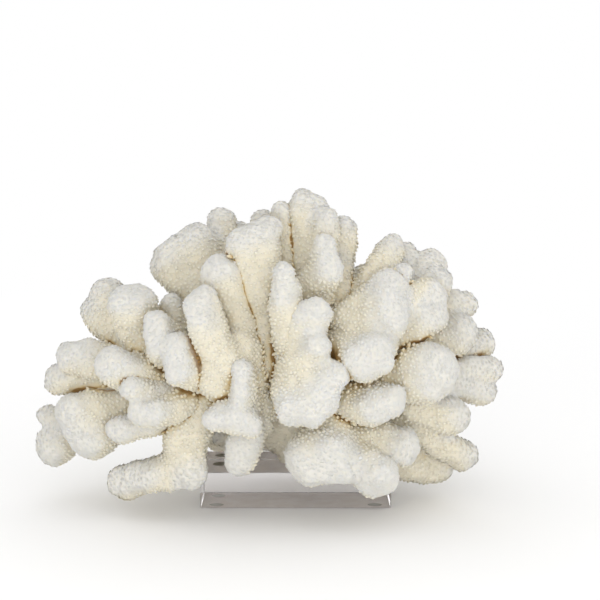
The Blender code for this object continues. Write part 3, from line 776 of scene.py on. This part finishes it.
def newMaterial(name):
    material = bpy.data.materials.new(name)
    material.use_nodes = True
    material.node_tree.nodes.clear()
    return material, Nodes(material.node_tree)


def shadeWith(n, shader, volume=None):
    out = n.tree.nodes.new("ShaderNodeOutputMaterial")
    n.tree.links.new(shader.outputs[0], out.inputs["Surface"])
    if volume:
        n.tree.links.new(volume.outputs[0], out.inputs["Volume"])


def objectPlace(n):
    return n.add("ShaderNodeTexCoord").outputs["Object"]


def noise(n, scale, detail, roughness=0.5):
    node = n.add("ShaderNodeTexNoise", Vector=objectPlace(n), Scale=scale, Detail=detail)
    n.put(node.inputs["Roughness"], roughness)
    return node.outputs[0]


def mixed(n, factor, one, other):
    node = n.tree.nodes.new("ShaderNodeMix")
    node.data_type = "RGBA"
    sockets = {s.name: s for s in node.inputs if s.type == "RGBA"}
    n.put(node.inputs[0], factor)
    n.put(sockets["A"], one if not isinstance(one, tuple) else (*one, 1))
    n.put(sockets["B"], other if not isinstance(other, tuple) else (*other, 1))
    return [s for s in node.outputs if s.type == "RGBA"][0]


def toned(n, value, stops):
    # A colour ramp with a stop for each place and colour
    node = n.add("ShaderNodeValToRGB", Fac=value)
    ramp = node.color_ramp
    while len(ramp.elements) < len(stops):
        ramp.elements.new(0.5)
    for element, (place, colour) in zip(ramp.elements, stops):
        element.position = place
        element.color = (*colour, 1)
    return node.outputs["Color"]


def attribute(n, name):
    node = n.tree.nodes.new("ShaderNodeAttribute")
    node.attribute_name = name
    return node.outputs["Fac"]


def makeCoral():
    material, n = newMaterial("coral")
    look = coralLook
    tip, airy, close, knob = (attribute(n, name) for name in ("tip", "open", "close", "knob"))
    patches = noise(n, look["patchScale"], 3.0, 0.6)
    grain = noise(n, look["grainScale"], 2.0, 0.6)
    cells = n.add("ShaderNodeTexVoronoi", {"feature": "F1"}, Vector=objectPlace(n), Randomness=0.7)
    n.put(cells.inputs["Scale"], 1 / look["pit"])
    pits = cells.outputs["Distance"]

    # Painted shade: spots that see little open air run from dark brown through tan to the cream of the open
    # bodies
    light = n.math("ADD", airy, n.math("MULTIPLY", n.math("SUBTRACT", patches, 0.5), 0.35))
    # painted shade at the foot of each knob and painted highlight at its point, stronger where a spot sees less
    # open air
    knobShadeAndHighlight = n.math("MULTIPLY", n.math("SUBTRACT", knob, 0.45), n.ramped(airy, 0.35, 0.75, 0.5, 0.15))
    # painted shade where another finger closes in, made patchy by noise
    closeShade = n.ramped(noise(n, look["closeShadeScale"], 2.0), 0.42, 0.62, 0.12, 0.62)
    light = n.math("SUBTRACT", n.math("ADD", light, knobShadeAndHighlight), n.math("MULTIPLY", close, closeShade))
    body = toned(n, light, look["shadeTones"])

    # Tips turn white. The white is stronger where they face up and to the front and is left out of crevices, so
    # it is partly painted highlight and painted shade, and the points of the knobs get a little painted
    # highlight
    white = n.math("MULTIPLY", n.ramped(tip, *look["whiteTip"], smooth=False), n.ramped(airy, 0.25, 0.5))
    tipWhiteAndHighlight = n.math("MAXIMUM", white, n.math("MULTIPLY", knob, n.ramped(airy, 0.35, 0.9, 0.0, 0.15)))
    skin = mixed(n, tipWhiteAndHighlight, body, look["white"])
    # painted shade: faint grey dots in the pit cups
    pitShade = n.math("MULTIPLY", n.ramped(pits, 0.45, 0.15), n.ramped(tip, 0.35, 0.8, 0.05, 0.08))
    skin = mixed(n, pitShade, skin, look["pitShade"])
    skin = mixed(n, n.ramped(grain, 0.35, 0.7, 0.0, 0.05), skin, look["grained"])

    cups = n.math("MULTIPLY", n.ramped(pits, 0.1, 0.5), n.ramped(tip, 0.3, 0.8, 0.2, 1.0))
    dent = n.math("SUBTRACT", cups, n.math("MULTIPLY", grain, 0.4))
    bump = n.add("ShaderNodeBump", Height=dent, Strength=look["bump"], Distance=look["bumpDepth"])
    shader = n.add("ShaderNodeBsdfPrincipled", Normal=bump.outputs[0])
    n.put(shader.inputs["Base Color"], skin)
    n.put(shader.inputs["Roughness"], look["roughness"])
    n.put(shader.inputs["Specular IOR Level"], look["shine"])
    n.put(shader.inputs["Subsurface Weight"], look["glow"])
    n.put(shader.inputs["Subsurface Radius"], look["glowColour"])
    n.put(shader.inputs["Subsurface Scale"], look["glowDepth"])
    shadeWith(n, shader)
    return material


acrylicLook = {
    "surface": (0.985, 0.98, 0.985),
    "ior": 1.49,
    "roughness": (0.015, 0.07),  # clean, and where fingers have smeared it
    "tint": (0.80, 0.775, 0.80),
    "density": 8.0,
    "bump": 0.04,
    "bumpDepth": 0.2 * mm,
    "edge": 0.5 * mm,
    "scuffed": (0.84, 0.79, 0.755),
    "scuffedLight": (0.90, 0.865, 0.84),
    "scuffedRoughness": 0.8,
}


def makeAcrylic():
    material, n = newMaterial("clear_acrylic")
    look = acrylicLook
    smear = noise(n, 60.0, 3.0, 0.6)
    scuff = noise(n, 400.0, 2.0)
    bump = n.add("ShaderNodeBump", Height=scuff, Strength=look["bump"], Distance=look["bumpDepth"])
    shader = n.add("ShaderNodeBsdfPrincipled", Normal=bump.outputs[0])
    n.put(shader.inputs["Base Color"], (*look["surface"], 1))
    n.put(shader.inputs["Roughness"], n.ramped(smear, 0.45, 0.75, *look["roughness"]))
    n.put(shader.inputs["IOR"], look["ior"])
    n.put(shader.inputs["Transmission Weight"], 1.0)
    soak = n.tree.nodes.new("ShaderNodeVolumeAbsorption")
    n.put(soak.inputs["Color"], (*look["tint"], 1))
    n.put(soak.inputs["Density"], look["density"])
    shadeWith(n, shader, soak)
    return material


def makeUnderside():
    # The face under the block is scuffed matt, and shows as a warm grey through the rest
    material, n = newMaterial("scuffed_acrylic")
    look = acrylicLook
    scuff = n.ramped(noise(n, 90.0, 4.0, 0.6), 0.35, 0.7)
    shader = n.tree.nodes.new("ShaderNodeBsdfPrincipled")
    n.put(shader.inputs["Base Color"], mixed(n, scuff, look["scuffed"], look["scuffedLight"]))
    n.put(shader.inputs["Roughness"], look["scuffedRoughness"])
    n.put(shader.inputs["Specular IOR Level"], 0.1)
    shadeWith(n, shader)
    return material


rubberLook = {
    "dark": (0.24, 0.215, 0.155),
    "light": (0.34, 0.31, 0.235),
    "roughness": 0.35,
    "ior": 1.45,
    "clear": 0.2,
}


def makeRubber():
    material, n = newMaterial("clear_rubber")
    cloud = n.ramped(noise(n, 350.0, 2.0), 0.3, 0.7)
    shader = n.tree.nodes.new("ShaderNodeBsdfPrincipled")
    n.put(shader.inputs["Base Color"], mixed(n, cloud, rubberLook["dark"], rubberLook["light"]))
    n.put(shader.inputs["Roughness"], rubberLook["roughness"])
    n.put(shader.inputs["IOR"], rubberLook["ior"])
    n.put(shader.inputs["Transmission Weight"], rubberLook["clear"])
    shadeWith(n, shader)
    return material


# Block and pads
blockShape = {"edgeSteps": 3, "flat": 100.0 * mm * mm}  # faces larger than this are flat sides


def makeBlock(material, underside):
    bm = bmesh.new()
    newBox(bm, *standBox)
    bmesh.ops.bevel(bm, geom=bm.edges[:], offset=acrylicLook["edge"], segments=blockShape["edgeSteps"],
                    profile=0.5, affect="EDGES")
    piece = newPiece("block", bm)
    piece.data.materials.append(material)
    piece.data.materials.append(underside)
    for face in piece.data.polygons:
        face.use_smooth = face.area < blockShape["flat"]
        if not face.use_smooth and face.normal.z < -0.9:
            face.material_index = 1
    piece.visible_shadow = False  # light falls through it
    return piece


padShape = {
    "turns": 32,
    "profile": [(0, 0), (0.78, 0), (0.92, 0.10), (0.98, 0.35), (1.0, 1.0), (0, 1.0)],  # of radius and height
    "press": 0.05 * mm,  # into the block, so that it shows through
    "crease": 40.0,  # degrees
}


def makePad(node, material):
    low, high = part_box(node)
    high.z = standBox[0].z + padShape["press"]
    middle = (low + high) / 2
    radius = (high.x - low.x) / 2
    height = high.z - low.z
    bm = bmesh.new()
    rim = [bm.verts.new((x * radius, 0, z * height)) for x, z in padShape["profile"]]
    edges = [bm.edges.new(pair) for pair in zip(rim, rim[1:])]
    bmesh.ops.spin(bm, geom=rim + edges, axis=(0, 0, 1), cent=(0, 0, 0), steps=padShape["turns"], angle=math.tau)
    bmesh.ops.remove_doubles(bm, verts=bm.verts[:], dist=1e-6)
    bmesh.ops.recalc_face_normals(bm, faces=bm.faces[:])
    bmesh.ops.translate(bm, verts=bm.verts[:], vec=(middle.x, middle.y, low.z))
    piece = newPiece(node.replace("pad_", "bumper_"), bm)
    piece.data.materials.append(material)
    piece.data.shade_smooth()
    piece.data.set_sharp_from_angle(angle=math.radians(padShape["crease"]))
    return piece


# Studio
studio = {
    "lens": 69.0,
    "away": 761.5 * mm,  # in front of the block's middle
    "aside": 2.9 * mm,
    "up": 249.7 * mm,
    "down": 8.35,  # degrees
    "aim": 0.1,  # height that the lights point at
    "sky": 1.0,
    "floor": (0.92, 0.92, 0.92),
    "floorFade": (0.35, 1.1),  # metres from the part where the floor brightens into the backdrop
    "lights": [  # name, place, size, power and colour
        ("key", (-0.12, -1.0, 0.38), 0.5, 1.2, (1.0, 0.99, 0.975)),
        ("fill", (0.65, -1.0, 0.26), 0.5, 1.7, (1.0, 0.98, 0.935)),
        ("low", (-0.02, -0.95, 0.16), 0.3, 2.1, (1.0, 0.985, 0.95)),
        ("top", (0.05, 0.25, 1.25), 0.9, 0.3, (1.0, 1.0, 1.0)),
        ("back", (-0.2, 1.1, 0.34), 0.7, 1.1, (1.0, 0.99, 0.97)),
    ],
}


def makeFloor():
    material, n = newMaterial("studio_floor")
    shader = n.tree.nodes.new("ShaderNodeBsdfPrincipled")
    n.put(shader.inputs["Base Color"], (*studio["floor"], 1))
    n.put(shader.inputs["Roughness"], 0.9)
    n.put(shader.inputs["Specular IOR Level"], 0.1)
    glow = n.add("ShaderNodeEmission", Strength=studio["sky"])
    far = n.ramped(n.vector("LENGTH", objectPlace(n)), *studio["floorFade"])
    blend = n.add("ShaderNodeMixShader", i0=far, i1=shader.outputs[0], i2=glow.outputs[0])
    shadeWith(n, blend)
    return material


def addLight(target, name, spot, size, power, colour):
    light = bpy.data.lights.new(name, "AREA")
    light.shape = "SQUARE"
    light.size = size
    light.energy = power
    light.color = colour
    lamp = bpy.data.objects.new(name, light)
    lamp.location = spot
    lamp.rotation_euler = (Vector(target) - Vector(spot)).to_track_quat("-Z", "Y").to_euler()
    bpy.context.scene.collection.objects.link(lamp)


def setStudio():
    camera = bpy.data.cameras.new("camera")
    camera.lens = studio["lens"]
    camera.sensor_width = 36
    camera.clip_start = 0.01
    camera.clip_end = 20
    eye = bpy.data.objects.new("camera", camera)
    eye.location = (standMiddle.x + studio["aside"], standMiddle.y - studio["away"], studio["up"])
    eye.rotation_euler = (math.radians(90 - studio["down"]), 0, 0)
    bpy.context.scene.collection.objects.link(eye)
    bpy.context.scene.camera = eye

    for light in studio["lights"]:
        addLight((standMiddle.x, standMiddle.y, studio["aim"]), *light)

    world = bpy.data.worlds.new("studio")
    world.use_nodes = True
    sky = world.node_tree.nodes["Background"]
    sky.inputs["Color"].default_value = (1, 1, 1, 1)
    sky.inputs["Strength"].default_value = studio["sky"]
    bpy.context.scene.world = world
    bpy.context.scene.view_settings.view_transform = "Standard"

    bm = bmesh.new()
    bmesh.ops.create_grid(bm, x_segments=1, y_segments=1, size=4)
    floor = newPiece("floor", bm)
    floor.data.materials.append(makeFloor())


def main():
    directions = ballDirections()
    coralMaterial = makeCoral()
    forms = {node: growForm(node, directions) for node in lobes}
    cutter, low, high = standCutter()
    for node, piece in forms.items():
        if meets(piece, low, high):
            cutAtStand(piece, cutter)
            print("cut at the stand:", node)
        markTips(piece, node)
    bpy.data.objects.remove(cutter)
    print("coral forms grown:", sum(len(p.data.polygons) for p in forms.values()), "faces")
    markOpenness(list(forms.values()))
    print("crevices marked")
    tree = knobTree()
    total = 0
    for seed, (node, piece) in enumerate(forms.items()):
        growKnobs(piece, tree, seed, coralMaterial)
        piece.data.calc_loop_triangles()
        count = len(piece.data.loop_triangles)
        total += count
        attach(piece, "root")
        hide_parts(node)
        print(piece.name, count, "triangles")
    print("coral finished:", total, "triangles")

    block = makeBlock(makeAcrylic(), makeUnderside())
    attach(block, "root")
    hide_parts("clear_block")
    rubber = makeRubber()
    for node in ("pad_front_left", "pad_front_right", "pad_back_left", "pad_back_right"):
        pad = makePad(node, rubber)
        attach(pad, "root")
        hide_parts(node)
    print("block and pads finished")
    setStudio()


main()
